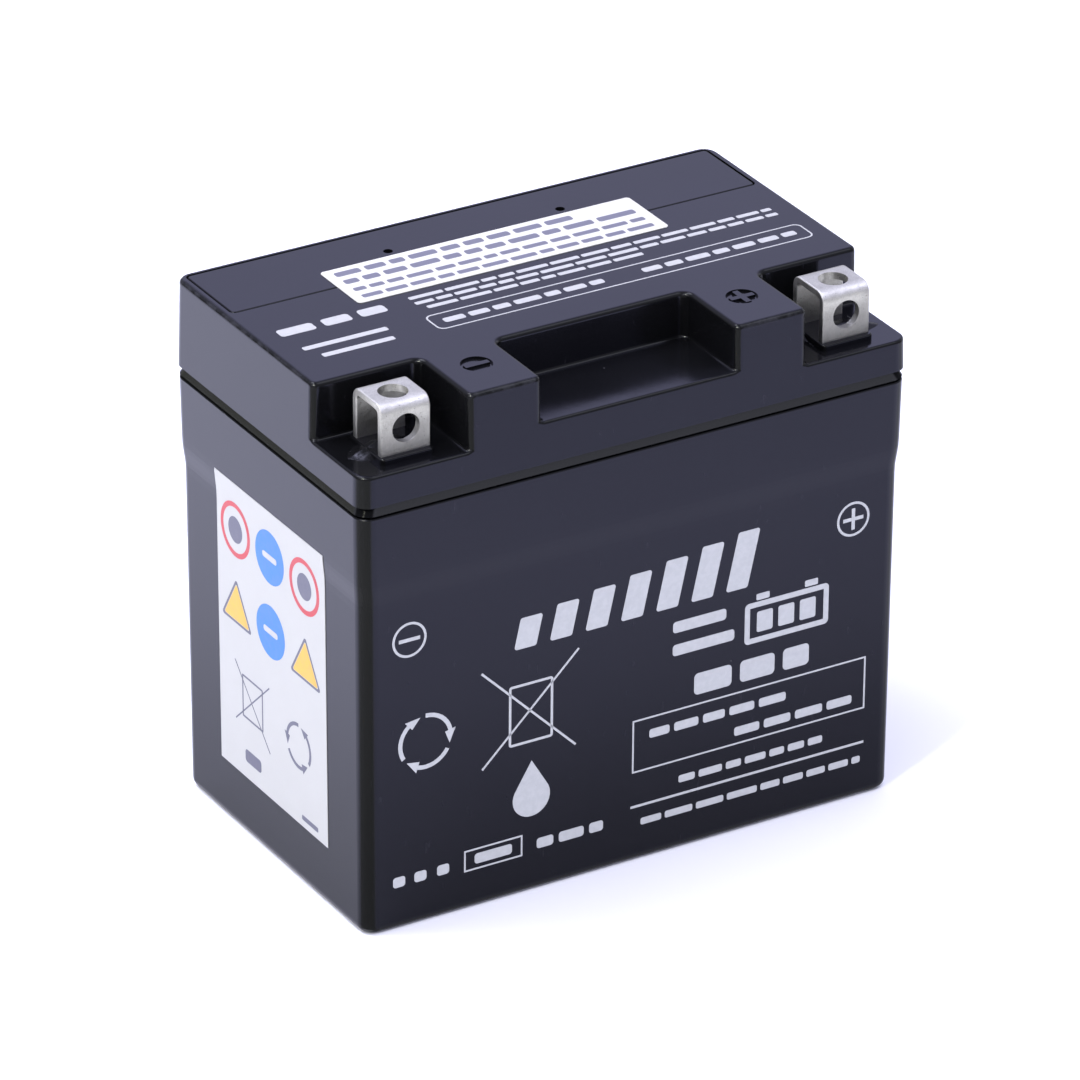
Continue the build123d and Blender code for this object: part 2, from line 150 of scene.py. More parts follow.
def add(tree, kind, inputs, **settings):
    """Adds a node, sets its properties and fills its inputs with values or links."""
    node = tree.nodes.new(kind)
    for key, value in settings.items():
        setattr(node, key, value)
    for key, value in inputs.items():
        fill(tree, node.inputs[key], value)
    return node


def fill(tree, socket, value):
    if isinstance(value, bpy.types.NodeSocket):
        tree.links.new(value, socket)
    else:
        socket.default_value = value


def math_node(tree, operation, first, second=0.0):
    return add(tree, "ShaderNodeMath", {0: first, 1: second}, operation=operation).outputs[0]


def object_coords(tree, stretch=(1, 1, 1)):
    """Object coordinates in metres, stretched for streaks."""
    coords = tree.nodes.new("ShaderNodeTexCoord").outputs["Object"]
    return add(tree, "ShaderNodeMapping", {"Vector": coords, "Scale": stretch}).outputs[0]


def noise(tree, coords, size, detail=3.0, roughness=0.5):
    """Noise whose features are about size metres across."""
    inputs = {"Vector": coords, "Scale": 1 / size, "Detail": detail, "Roughness": roughness}
    return add(tree, "ShaderNodeTexNoise", inputs).outputs["Fac"]


def remap(tree, value, low, high, to_low, to_high):
    inputs = {"Value": value, "From Min": low, "From Max": high, "To Min": to_low, "To Max": to_high}
    return add(tree, "ShaderNodeMapRange", inputs, interpolation_type="SMOOTHSTEP").outputs["Result"]


def mix_colors(tree, factor, first, second):
    inputs = {0: factor, 6: (*first, 1) if isinstance(first, tuple) else first}
    inputs[7] = (*second, 1) if isinstance(second, tuple) else second
    return add(tree, "ShaderNodeMix", inputs, data_type="RGBA").outputs[2]


def over(tree, color, tone, mask, strength):
    """Colour with a tone laid over it where the mask is 1, at a strength."""
    return mix_colors(tree, math_node(tree, "MULTIPLY", mask, strength), color, tone)


def raised(tree, value, mask, amount):
    """Value raised by an amount where the mask is 1."""
    return math_node(tree, "ADD", value, math_node(tree, "MULTIPLY", mask, amount))


def except_on(tree, value, mask):
    """Value where the mask is 0, and nothing where it is 1."""
    return math_node(tree, "MULTIPLY", value, math_node(tree, "SUBTRACT", 1.0, mask))


def bump(tree, height, depth, below=None):
    """Bump that raises the surface by depth metres at height 1, over an earlier bump."""
    inputs = {"Height": height, "Strength": 1.0, "Distance": depth}
    if below is not None:
        inputs["Normal"] = below
    return add(tree, "ShaderNodeBump", inputs).outputs["Normal"]


def specks(tree, coords, spacing, size, share):
    """1 on small round specks: one possible speck per cell, kept in a share of the cells."""
    cells = add(tree, "ShaderNodeTexVoronoi", {"Vector": coords, "Scale": 1 / spacing})
    near = remap(tree, cells.outputs["Distance"], 0.5 * size / spacing, size / spacing, 1, 0)
    pick = add(tree, "ShaderNodeSeparateColor", {0: cells.outputs["Color"]}).outputs[0]
    kept = math_node(tree, "LESS_THAN", pick, share)
    return math_node(tree, "MULTIPLY", near, kept)


def case_edges(tree, width):
    """1 along the outer edges of the case, fading out over a width."""
    coords = tree.nodes.new("ShaderNodeTexCoord").outputs["Object"]
    x, y, z = add(tree, "ShaderNodeSeparateXYZ", {0: coords}).outputs
    toward = []
    for axis, half in ((x, HALF_LENGTH), (y, HALF_WIDTH)):
        out = math_node(tree, "ABSOLUTE", axis)
        toward.append(math_node(tree, "SUBTRACT", out, half - width))
    toward.append(math_node(tree, "SUBTRACT", z, TOP_Z - width))
    both_walls = math_node(tree, "MINIMUM", toward[0], toward[1])
    any_wall = math_node(tree, "MAXIMUM", toward[0], toward[1])
    rim = math_node(tree, "MINIMUM", any_wall, toward[2])
    edge = math_node(tree, "MAXIMUM", both_walls, rim)
    return remap(tree, edge, 0.2 * width, width, 0, 1)


def height_over_floor(tree):
    coords = tree.nodes.new("ShaderNodeTexCoord").outputs["Object"]
    return add(tree, "ShaderNodeSeparateXYZ", {0: coords}).outputs[2]


def level_normal(tree):
    """Larger of the two level parts of the surface normal: 1 on an upright wall."""
    normal = tree.nodes.new("ShaderNodeTexCoord").outputs["Normal"]
    x, y, _ = add(tree, "ShaderNodeSeparateXYZ", {0: normal}).outputs
    return math_node(tree, "MAXIMUM", math_node(tree, "ABSOLUTE", x), math_node(tree, "ABSOLUTE", y))


def three_way_corners(tree):
    """1 where three faces meet and the surface looks away from all three axes."""
    normal = tree.nodes.new("ShaderNodeTexCoord").outputs["Normal"]
    x, y, z = add(tree, "ShaderNodeSeparateXYZ", {0: normal}).outputs
    least = math_node(tree, "MINIMUM", math_node(tree, "ABSOLUTE", x), math_node(tree, "ABSOLUTE", y))
    least = math_node(tree, "MINIMUM", least, math_node(tree, "ABSOLUTE", z))
    return remap(tree, least, 0.35, 0.5, 0, 1)


def roundings(tree):
    """1 on rounded and slanted edges, 0 on the faces that look straight along an axis."""
    normal = tree.nodes.new("ShaderNodeTexCoord").outputs["Normal"]
    z = add(tree, "ShaderNodeSeparateXYZ", {0: normal}).outputs[2]
    straight = math_node(tree, "MAXIMUM", level_normal(tree), math_node(tree, "ABSOLUTE", z))
    return remap(tree, straight, 0.90, 0.992, 1, 0)


# ---- materials ----

def plastic_shine(tree, skirt_band, skirt, corner):
    """Specular level with painted shade and glints: it fades toward the foot as painted shade, is weaker on
    the roundings and the skirt's rounded corners as painted shade, is raised on the flat skirt as a painted
    reflection, and is strong on corners as painted glints.
    """
    # painted shade: duller shine on the roundings, except on the flat skirt
    dulled_roundings = except_on(tree, roundings(tree), skirt)
    # painted shade: duller shine on the rounded corners of the skirt
    skirt_corner = math_node(tree, "SUBTRACT", skirt_band, skirt)
    # painted shade: weaker shine toward the foot
    level = remap(tree, height_over_floor(tree), 0, FADE_TOP, FOOT_SHINE, FACE_SHINE)
    level = math_node(tree, "MULTIPLY", level, remap(tree, dulled_roundings, 0, 1, 1.0, EDGE_SHINE))
    level = math_node(tree, "MULTIPLY", level, remap(tree, skirt_corner, 0, 1, 1.0, SKIRT_CORNER_SHINE))
    # painted reflection: more shine on the flat skirt
    level = raised(tree, level, skirt, SKIRT_SHINE)
    # painted glints where three faces meet
    return raised(tree, level, corner, CORNER_SHINE)


def plastic_wear(tree, coords):
    """Patchy wear along the outer edges of the case."""
    patches = noise(tree, coords, 2.2 * MM, 5.0, 0.65)
    return math_node(tree, "MULTIPLY", case_edges(tree, 1.6 * MM), remap(tree, patches, 0.42, 0.66, 0, 1))


def case_plastic(name, gloss):
    """Black moulded plastic: fine grain, faint swirls in its gloss, handling marks and dust.

    The roundings carry painted shade in a duller, olive-tinted shine, the faces a painted blue tint in
    theirs, the corners painted glints, and the gloss fades toward the foot as painted shade."""
    material, tree, shader = new_material(name)
    coords = object_coords(tree)
    cloud = noise(tree, coords, 14 * MM, 4.0)
    mottle = noise(tree, coords, 1.6 * MM, 3.0, 0.6)
    grain = noise(tree, coords, 0.16 * MM, 2.0)
    scratch = noise(tree, object_coords(tree, STREAKS_ALONG), 1.1 * MM, 2.0)
    scratches = remap(tree, scratch, 0.70, 0.76, 0, 1)
    dust = specks(tree, coords, 5.0 * MM, 0.14 * MM, 0.20)
    wear = plastic_wear(tree, coords)
    near_skirt = {0: height_over_floor(tree), 1: SKIRT_Z, 2: SKIRT_HALF}
    skirt_band = add(tree, "ShaderNodeMath", near_skirt, operation="COMPARE").outputs[0]
    upright = remap(tree, level_normal(tree), 0.78, 0.86, 0, 1)
    skirt = math_node(tree, "MULTIPLY", skirt_band, upright)
    # painted glints on the corners where three faces meet, away from the skirt band
    corner = except_on(tree, three_way_corners(tree), skirt_band)

    color = mix_colors(tree, cloud, PLASTIC_DARK, PLASTIC_LIGHT)
    color = over(tree, color, WORN_PLASTIC, wear, 0.5)
    color = over(tree, color, SCRATCHED_PLASTIC, scratches, 0.12)
    color = over(tree, color, PALE_DUST, dust, 0.5)
    rough = remap(tree, cloud, 0.3, 0.7, gloss - 0.02, gloss + 0.03)
    rough = raised(tree, rough, mottle, 0.05)
    rough = raised(tree, rough, wear, 0.06)
    rough = raised(tree, rough, corner, 0.07)
    normal = bump(tree, mottle, 0.006 * MM)
    normal = bump(tree, grain, 0.0022 * MM, normal)
    normal = bump(tree, scratches, -0.001 * MM, normal)

    fill(tree, shader.inputs["Base Color"], color)
    fill(tree, shader.inputs["Roughness"], rough)
    fill(tree, shader.inputs["Normal"], normal)
    fill(tree, shader.inputs["Specular IOR Level"], plastic_shine(tree, skirt_band, skirt, corner))
    # painted reflection: the shine of the faces is tinted blue and the shine of the roundings olive
    tint = mix_colors(tree, roundings(tree), FACE_REFLECTION_TINT, EDGE_REFLECTION_TINT)
    fill(tree, shader.inputs["Specular Tint"], tint)
    shader.inputs["IOR"].default_value = 1.36
    return material


def pooled_resin(name):
    """Black resin that set in soft waves, with a few bubbles and dust on it."""
    material, tree, shader = new_material(name)
    coords = object_coords(tree)
    waves = noise(tree, coords, 1.8 * MM, 3.0)
    bubbles = specks(tree, coords, 1.4 * MM, 0.2 * MM, 0.4)
    dust = specks(tree, coords, 0.9 * MM, 0.07 * MM, 0.2)
    color = mix_colors(tree, waves, RESIN_DARK, RESIN_LIGHT)
    color = over(tree, color, RESIN_DUST, dust, 0.5)
    normal = bump(tree, waves, 0.12 * MM)
    fill(tree, shader.inputs["Base Color"], color)
    fill(tree, shader.inputs["Roughness"], remap(tree, waves, 0.3, 0.7, 0.14, 0.28))
    shader.inputs["Specular IOR Level"].default_value = 0.14
    fill(tree, shader.inputs["Normal"], bump(tree, bubbles, -0.08 * MM, normal))
    return material


def plated_metal(name):
    """Satin plated strip: rolling marks, a dull film in patches, small dents, and painted shade darkening
    it toward its foot.
    """
    material, tree, shader = new_material(name)
    coords = object_coords(tree)
    rolled = noise(tree, object_coords(tree, (1, 1, 0.12)), 0.18 * MM, 3.0, 0.6)
    film = remap(tree, noise(tree, coords, 2.4 * MM, 5.0, 0.6), 0.35, 0.7, 0, 1)
    dents = remap(tree, noise(tree, coords, 0.9 * MM, 2.0), 0.35, 0.65, 0, 1)
    pits = specks(tree, coords, 0.7 * MM, 0.13 * MM, 0.5)
    grain = noise(tree, coords, 0.22 * MM, 3.0, 0.6)
    # painted shade: darker toward the foot in the pocket
    foot = remap(tree, height_over_floor(tree), TOP_Z - METAL_FOOT_RISE, TOP_Z, 1, 0)
    color = mix_colors(tree, film, METAL_BRIGHT, METAL_DULL)
    color = mix_colors(tree, foot, color, METAL_FOOT_SHADE)
    color = mix_colors(tree, remap(tree, grain, 0.35, 0.75, 0, 0.35), color, METAL_GRAIN)
    color = over(tree, color, METAL_PIT, pits, 0.7)
    rough = remap(tree, rolled, 0.3, 0.7, 0.36, 0.50)
    rough = raised(tree, rough, film, 0.10)
    normal = bump(tree, rolled, 0.006 * MM)
    normal = bump(tree, grain, 0.012 * MM, normal)
    normal = bump(tree, dents, 0.02 * MM, normal)
    normal = bump(tree, pits, -0.02 * MM, normal)
    fill(tree, shader.inputs["Base Color"], color)
    fill(tree, shader.inputs["Roughness"], rough)
    fill(tree, shader.inputs["Normal"], normal)
    shader.inputs["Metallic"].default_value = 1.0
    return material


def rough_solid(name, light, dark, grain, roughness, depth, metallic=0.0):
    """Granular material for hidden pieces: two tones, grain of one size and matching bump."""
    material, tree, shader = new_material(name)
    coords = object_coords(tree)
    patches = noise(tree, coords, 6 * grain, 4.0)
    grains = noise(tree, coords, grain, 4.0, 0.65)
    tone = remap(tree, math_node(tree, "ADD", patches, grains), 0.7, 1.3, 0, 1)
    fill(tree, shader.inputs["Base Color"], mix_colors(tree, tone, dark, light))
    fill(tree, shader.inputs["Roughness"], remap(tree, grains, 0.3, 0.7, roughness - 0.1, roughness + 0.1))
    fill(tree, shader.inputs["Normal"], bump(tree, grains, depth))
    shader.inputs["Metallic"].default_value = metallic
    return material


def glass_mat(name):
    """Felted white fibre: crossed streaks in colour and bump."""
    material, tree, shader = new_material(name)
    up = noise(tree, object_coords(tree, (1, 1, 0.1)), 0.2 * MM, 4.0, 0.7)
    across = noise(tree, object_coords(tree, (1, 0.1, 1)), 0.2 * MM, 4.0, 0.7)
    fibres = math_node(tree, "MAXIMUM", up, across)
    tone = remap(tree, fibres, 0.45, 0.75, 0, 1)
    fill(tree, shader.inputs["Base Color"], mix_colors(tree, tone, FIBRE_DARK, FIBRE_LIGHT))
    fill(tree, shader.inputs["Roughness"], remap(tree, tone, 0, 1, 0.95, 0.8))
    fill(tree, shader.inputs["Normal"], bump(tree, fibres, 0.05 * MM))
    return material


def label_paper(name, tone):
    """Coated paper: faint fibres, slight waves where it is glued down, soiled specks."""
    material, tree, shader = new_material(name)
    coords = object_coords(tree)
    fibres = noise(tree, coords, 0.25 * MM, 5.0, 0.7)
    waves = noise(tree, coords, 7 * MM, 3.0)
    soil = specks(tree, coords, 4 * MM, 0.12 * MM, 0.2)
    darker = tuple(0.95 * c for c in tone)
    color = mix_colors(tree, waves, darker, tone)
    color = over(tree, color, LABEL_SOIL, soil, 0.5)
    fill(tree, shader.inputs["Base Color"], color)
    fill(tree, shader.inputs["Roughness"], remap(tree, fibres, 0.3, 0.7, 0.32, 0.44))
    normal = bump(tree, waves, 0.04 * MM)
    fill(tree, shader.inputs["Normal"], bump(tree, fibres, 0.004 * MM, normal))
    return material


def ink(name, color, roughness=0.42):
    """Screen-printed ink: slightly uneven cover with a few pinholes."""
    material, tree, shader = new_material(name)
    coords = object_coords(tree)
    cover = noise(tree, coords, 1.3 * MM, 5.0, 0.65)
    pinholes = specks(tree, coords, 0.9 * MM, 0.09 * MM, 0.12)
    thin = tuple(INK_THIN * c for c in color)
    hole = tuple(INK_PINHOLE * c for c in color)
    shade = mix_colors(tree, remap(tree, cover, 0.35, 0.7, 0, 1), thin, color)
    shade = over(tree, shade, hole, pinholes, 0.7)
    fill(tree, shader.inputs["Base Color"], shade)
    fill(tree, shader.inputs["Roughness"], remap(tree, cover, 0.3, 0.7, roughness - 0.05, roughness + 0.08))
    fill(tree, shader.inputs["Normal"], bump(tree, cover, 0.004 * MM))
    return material


def floor_material(name):
    material, tree, shader = new_material(name)
    cloud = noise(tree, object_coords(tree), 0.5, 2.0)
    fill(tree, shader.inputs["Base Color"], mix_colors(tree, cloud, FLOOR_DARK, FLOOR_LIGHT))
    fill(tree, shader.inputs["Roughness"], remap(tree, cloud, 0, 1, 0.75, 0.85))
    return material


# ---- CAD nodes and their finishes ----

def paint(node, material):
    """Gives a CAD node one material."""
    mesh = NODES[node].data
    mesh.materials.clear()
    mesh.materials.append(material)


def hidden_finishes():
    """Granular materials of what is inside, by material slot."""
    return {
        "lead": rough_solid(
            "cast_lead", light=(0.46, 0.47, 0.50), dark=(0.26, 0.27, 0.29),
            grain=0.5 * MM, roughness=0.5, depth=0.03 * MM, metallic=1.0),
        "positive_plate": rough_solid(
            "brown_plate_paste", light=(0.16, 0.085, 0.05), dark=(0.07, 0.035, 0.02),
            grain=0.3 * MM, roughness=0.85, depth=0.05 * MM),
        "negative_plate": rough_solid(
            "grey_plate_paste", light=(0.36, 0.37, 0.39), dark=(0.20, 0.21, 0.22),
            grain=0.3 * MM, roughness=0.75, depth=0.05 * MM),
        "glass_mat": glass_mat("glass_fibre_mat"),
        "sealing_resin": rough_solid(
            "sealing_resin", light=(0.03, 0.03, 0.033), dark=(0.015, 0.015, 0.017),
            grain=2 * MM, roughness=0.2, depth=0.02 * MM),
        "valve_rubber": rough_solid(
            "valve_rubber", light=(0.05, 0.05, 0.052), dark=(0.025, 0.025, 0.027),
            grain=0.2 * MM, roughness=0.7, depth=0.01 * MM),
        "porous_disc": rough_solid(
            "porous_disc", light=(0.82, 0.81, 0.77), dark=(0.58, 0.57, 0.53),
            grain=0.15 * MM, roughness=0.9, depth=0.04 * MM),
    }


def paint_frame():
    by_slot = hidden_finishes()
    by_slot["case_plastic"] = case_plastic("black_case_plastic", 0.13)
    by_slot["plated_terminal"] = plated_metal("plated_terminal_metal")
    by_slot["label_paper"] = label_paper("white_label_paper", LABEL_PAPER)
    for part in frame["record"]["subparts"]:
        paint(part["node"], by_slot[part["material_slot"]])
    paint("side_label", label_paper("pale_label_film", LABEL_FILM))


def add_piece(name, mesh, material):
    """Turns a finished bmesh into a piece that rides on the case."""
    bmesh.ops.recalc_face_normals(mesh, faces=mesh.faces)
    data = bpy.data.meshes.new(name)
    mesh.to_mesh(data)
    mesh.free()
    data.materials.append(material)
    piece = bpy.data.objects.new(name, data)
    bpy.context.scene.collection.objects.link(piece)
    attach(piece, "case")
    return piece


# ---- printed shapes, drawn flat and laid on a face of the case ----

def rounded(points, radius):
    """Outline through corner points, each corner turned by an arc."""
    outline = []
    count = len(points)
    for index, corner in enumerate(points):
        corner = Vector(corner)
        before = (Vector(points[index - 1]) - corner).normalized()
        after = (Vector(points[(index + 1) % count]) - corner).normalized()
        half_angle = before.angle(after) / 2
        centre = corner + (before + after).normalized() * radius / math.sin(half_angle)
        start = corner + before * radius / math.tan(half_angle) - centre
        end = corner + after * radius / math.tan(half_angle) - centre
        turn = start.angle_signed(end)
        for step in range(CURVE_STEPS + 1):
            spin = Matrix.Rotation(-turn * step / CURVE_STEPS, 2)
            outline.append(centre + spin @ start)
    return outline


def rectangle(left, right, low, high):
    return [(left, low), (right, low), (right, high), (left, high)]


def circle(x, y, radius):
    turns = 6 * CURVE_STEPS
    angles = [2 * math.pi * step / turns for step in range(turns)]
    return [Vector((x + radius * math.cos(a), y + radius * math.sin(a))) for a in angles]


def shrunk(points, inset):
    """Corner points of a convex outline, moved in by the same distance from every side."""
    moved = []
    count = len(points)
    for index, corner in enumerate(points):
        corner = Vector(corner)
        before = (Vector(points[index - 1]) - corner).normalized()
        after = (Vector(points[(index + 1) % count]) - corner).normalized()
        half_angle = before.angle(after) / 2
        moved.append(tuple(corner + (before + after).normalized() * inset / math.sin(half_angle)))
    return moved


class Print:
    """Collects flat shapes in millimetres on one face and makes them one thin mesh."""

    def __init__(self, name, place, material, height):
        self.name = name
        self.place = place
        self.material = material
        self.height = height
        self.mesh = bmesh.new()

    def ring_of_vertices(self, outline, height):
        return [self.mesh.verts.new(self.place(x * MM, y * MM, height)) for x, y in outline]

    def walls(self, low, high):
        count = len(low)
        for i in range(count):
            j = (i + 1) % count
            self.mesh.faces.new((low[i], low[j], high[j], high[i]))

    def solid(self, outline):
        """Filled shape."""
        low = self.ring_of_vertices(outline, -self.height)
        high = self.ring_of_vertices(outline, self.height)
        self.walls(low, high)
        self.mesh.faces.new(low)
        self.mesh.faces.new(high)

    def loop(self, outside, inside):
        """Band between two outlines with the same number of points."""
        rings = []
        for outline in (outside, inside):
            rings.append(self.ring_of_vertices(outline, -self.height))
            rings.append(self.ring_of_vertices(outline, self.height))
        out_low, out_high, in_low, in_high = rings
        self.walls(out_low, out_high)
        self.walls(in_low, in_high)
        self.walls(out_low, in_low)
        self.walls(out_high, in_high)

    def bar(self, left, right, middle, height, radius=None):
        """Level bar with rounded ends."""
        points = rectangle(left, right, middle - height / 2, middle + height / 2)
        self.solid(rounded(points, radius or height * 0.28))

    def frame(self, left, right, low, high, line, radius):
        """Outline of a rectangle."""
        points = rectangle(left, right, low, high)
        self.loop(rounded(points, radius), rounded(shrunk(points, line), max(radius - line, 0.05)))

    def ring(self, x, y, radius, line):
        self.loop(circle(x, y, radius), circle(x, y, radius - line))

    def stroke(self, start, end, width):
        """Straight line of a width between two points."""
        start, end = Vector(start), Vector(end)
        side = (end - start).normalized().orthogonal() * width / 2
        self.solid([start - side, end - side, end + side, start + side])

    def words(self, left, right, middle, height, seed, lengths=(1.6, 5.0)):
        """Row of bars as long as words, standing in for a line of small print."""
        chance = random.Random(seed)
        gap = height * 0.55
        x = left
        while x < right - height:
            end = min(x + height * chance.uniform(*lengths), right)
            if right - end < height + gap:
                end = right
            self.bar(x, end, middle, height)
            x = end + gap

    def arrow_ring(self, x, y, radius, width):
        """Three arrows that chase each other round a circle."""
        for turn in range(3):
            start = math.radians(90 - 120 * turn)
            sweep = math.radians(-78)
            outside, inside = [], []
            for step in range(CURVE_STEPS + 1):
                angle = start + sweep * step / CURVE_STEPS
                ray = Vector((math.cos(angle), math.sin(angle)))
                outside.append(Vector((x, y)) + ray * (radius + width / 2))
                inside.append(Vector((x, y)) + ray * (radius - width / 2))
            tip_angle = start + sweep - math.radians(30)
            ray = Vector((math.cos(start + sweep), math.sin(start + sweep)))
            tip = Vector((x + radius * math.cos(tip_angle), y + radius * math.sin(tip_angle)))
            barbs = [Vector((x, y)) + ray * (radius + reach) for reach in (1.3 * width, -1.3 * width)]
            self.solid(outside + [barbs[0], tip, barbs[1]] + inside[::-1])

    def polarity(self, x, y, radius, line, plus):
        """Ring around a minus or a plus drawn with a bolder line."""
        self.ring(x, y, radius, line)
        reach = radius * 0.62
        h = 0.75 * line
        if not plus:
            self.solid(rectangle(x - reach, x + reach, y - h, y + h))
            return
        quarter = [(reach, -h), (reach, h), (h, h)]
        cross = []
        for turn in range(4):
            spin = Matrix.Rotation(turn * math.pi / 2, 2)
            cross += [Vector((x, y)) + spin @ Vector(point) for point in quarter]
        self.solid(cross)

    def done(self):
        add_piece(self.name, self.mesh, self.material)


class SideLabelPrint(Print):
    """Print that bends with the side label over the shoulder of the container."""

    def done(self):
        for z, _ in LABEL_PROFILE:
            everything = self.mesh.verts[:] + self.mesh.edges[:] + self.mesh.faces[:]
            bmesh.ops.bisect_plane(self.mesh, geom=everything, plane_co=(0, 0, z), plane_no=(0, 0, 1))
        for vertex in self.mesh.verts:
            vertex.co.x += label_face(vertex.co.z)
        super().done()


def front_wall():
    """Where the front wall stands, as (y at z = 0, change of y per metre of height)."""
    found = []
    outside = -0.2
    for z in (20 * MM, 60 * MM):
        _, place, _, _ = NODES["container"].ray_cast(Vector((0, outside, z)), Vector((0, 1, 0)))
        found.append((z, place[1]))
    (z0, y0), (z1, y1) = found
    slope = (y1 - y0) / (z1 - z0)
    return y0 - slope * z0, slope


def label_profile():
    """Outside of the side label: (height, x) wherever its wall bends."""
    outside = {}
    for vertex in NODES["side_label"].data.vertices:
        z = round(vertex.co.z, 6)
        outside[z] = min(outside.get(z, 0), vertex.co.x)
    return sorted(outside.items())


FRONT_WALL = front_wall()
LABEL_PROFILE = label_profile()


def label_face(z):
    """Where the outside of the side label stands at a height."""
    for (z0, x0), (z1, x1) in zip(LABEL_PROFILE, LABEL_PROFILE[1:]):
        if z <= z1:
            return x0 + (x1 - x0) * (z - z0) / (z1 - z0)
    return LABEL_PROFILE[-1][1]


def on_front(x, z, height):
    return Vector((x, FRONT_WALL[0] + FRONT_WALL[1] * z - height, z))


def on_top(x, y, height):
    return Vector((x, y, TOP_Z + height))


def on_top_label(x, y, height):
    return Vector((x, y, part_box("top_label")[1][2] + height))


def flat_side_label(y, z, height):
    return Vector((-height, y, z))


# ---- print on the front face, in millimetres from the middle of the face and the floor ----

def front_polarity(material):
    marks = Print("front_polarity_marks", on_front, material, INK_HEIGHT)
    radius = 3.5
    line = 0.48
    marks.polarity(-46.9, 58.6, radius, line, plus=False)
    marks.polarity(46.1, 58.7, radius, line, plus=True)
    marks.done()


def front_charge_bars(material):
    """Seven slanted bars that grow to the right, as on a charge gauge."""
    bars = Print("front_charge_bars", on_front, material, INK_HEIGHT)
    count = 7
    width = 4.6
    pitch = 7.4
    slant = 0.22
    low = 50.6
    shortest = 6.2
    growth = 5.4
    for index in range(count):
        left = -25.4 + index * pitch
        tall = shortest + growth * index / (count - 1)
        points = [(left, low), (left + width, low)]
        points += [(left + width + slant * tall, low + tall), (left + slant * tall, low + tall)]
        bars.solid(rounded(points, 0.5))
    bars.done()


def front_battery_icon(material):
    """Outline of a battery with two studs and three level bars."""
    icon = Print("front_battery_icon", on_front, material, INK_HEIGHT)
    left, right, low, high = 23.2, 41.2, 38.6, 47.0
    icon.frame(left, right, low, high, 1.1, 0.9)
    for stud in (left + 2.4, right - 5.2):
        icon.bar(stud, stud + 2.8, high + 0.95, 1.3, 0.25)
    for index in range(3):
        start = left + 2.6 + index * 4.6
        icon.bar(start, start + 3.4, (low + high) / 2, 4.2, 0.4)
    icon.done()


def front_captions(material):
    """Bars in place of the lines of lettering, and the rules and boxes between them."""
    rows = Print("front_caption_bars", on_front, material, INK_HEIGHT)
    rows.bar(7.9, 19.2, 46.3, 2.3)
    rows.bar(7.9, 21.0, 41.6, 2.3)
    for left, right in ((12.6, 20.6), (22.4, 29.8), (31.6, 37.2)):
        rows.bar(left, right, 33.4, 4.4, 0.9)
    rows.words(3.2, 32.4, 25.8, 1.8, seed=3, lengths=MEDIUM_WORDS)
    rows.words(21.4, 46.8, 21.2, 1.8, seed=5, lengths=MEDIUM_WORDS)
    rows.words(9.6, 40.6, 14.6, 1.5, seed=8, lengths=(2.0, 3.4))
    rows.words(1.6, 49.0, 8.0, 1.4, seed=13, lengths=(2.5, 5.0))
    for left in (-50.3, -45.9, -41.2):
        rows.bar(left, left + 2.5, 9.8, 2.1)
    rows.bar(-33.4, -25.6, 10.1, 2.1)
    rows.words(-20.4, -6.4, 9.6, 2.1, seed=21, lengths=(1.4, 3.0))
    rows.done()
    lines = Print("front_rules", on_front, material, INK_HEIGHT)
    lines.frame(-0.4, 49.7, 18.5, 29.4, RULE_LINE, 0.1)
    lines.frame(-35.6, -23.4, 7.9, 12.3, RULE_LINE, 0.1)
    lines.solid(rectangle(-0.6, 49.7, 11.2, 11.7))
    lines.done()


def front_symbols(material):
    """Plain shapes: a ring of three arrows, a crossed box and a drop."""
    shapes = Print("front_plain_symbols", on_front, material, INK_HEIGHT)
    shapes.arrow_ring(-43.6, 37.2, 5.2, 0.85)
    shapes.frame(-26.4, -17.2, 31.0, 43.4, 0.5, 0.6)
    shapes.stroke((-32.1, 47.7), (-12.4, 28.0), 0.42)
    shapes.stroke((-11.9, 47.6), (-31.9, 28.0), 0.42)
    shapes.solid(drop_outline(-21.6, 19.6, 3.9, 27.2))
    shapes.done()


def drop_outline(x, y, radius, tip):
    """Drop: a round belly about a centre, and a point over it at a height."""
    drop = [(x, tip)]
    for step in range(3 * CURVE_STEPS + 1):
        angle = math.radians(35) - math.radians(250) * step / (3 * CURVE_STEPS)
        drop.append((x + radius * math.cos(angle), y + radius * math.sin(angle)))
    return drop


# ---- print on the lid ----

def top_captions(material):
    rows = Print("top_caption_bars", on_top, material, INK_HEIGHT)
    for left, right in ((-52.0, -44.8), (-43.0, -37.4), (-35.6, -30.2)):
        rows.bar(left, right, 3.7, 2.8, 0.7)
    rows.bar(-51.2, -34.0, -3.8, 1.4)
    rows.bar(-49.4, -34.8, -7.7, 1.4)
    rows.words(-24.8, 51.6, 4.7, 1.1, seed=2, lengths=LONG_WORDS)
    rows.words(-24.8, 51.6, 2.4, 1.1, seed=4, lengths=LONG_WORDS)
    rows.words(-23.6, 21.4, 0.1, 1.1, seed=6, lengths=LONG_WORDS)
    rows.frame(-26.3, 52.6, -9.2, -3.0, 0.32, 1.5)
    rows.words(-23.8, 9.4, -6.1, 1.7, seed=9, lengths=SHORT_WORDS)
    rows.words(17.6, 50.2, -6.1, 1.7, seed=7, lengths=SHORT_WORDS)
    rows.done()


def top_label_captions(material):
    rows = Print("top_label_bars", on_top_label, material, LABEL_INK_HEIGHT)
    for row, (y, height) in enumerate(((19.6, 1.8), (16.2, 1.8), (12.7, 1.4), (9.6, 1.4))):
        right = 18.0 if row == 0 else 29.4
        rows.words(-31.6, right, y, height, seed=30 + row, lengths=(1.6, 4.0))
    rows.done()


# ---- print on the side label ----

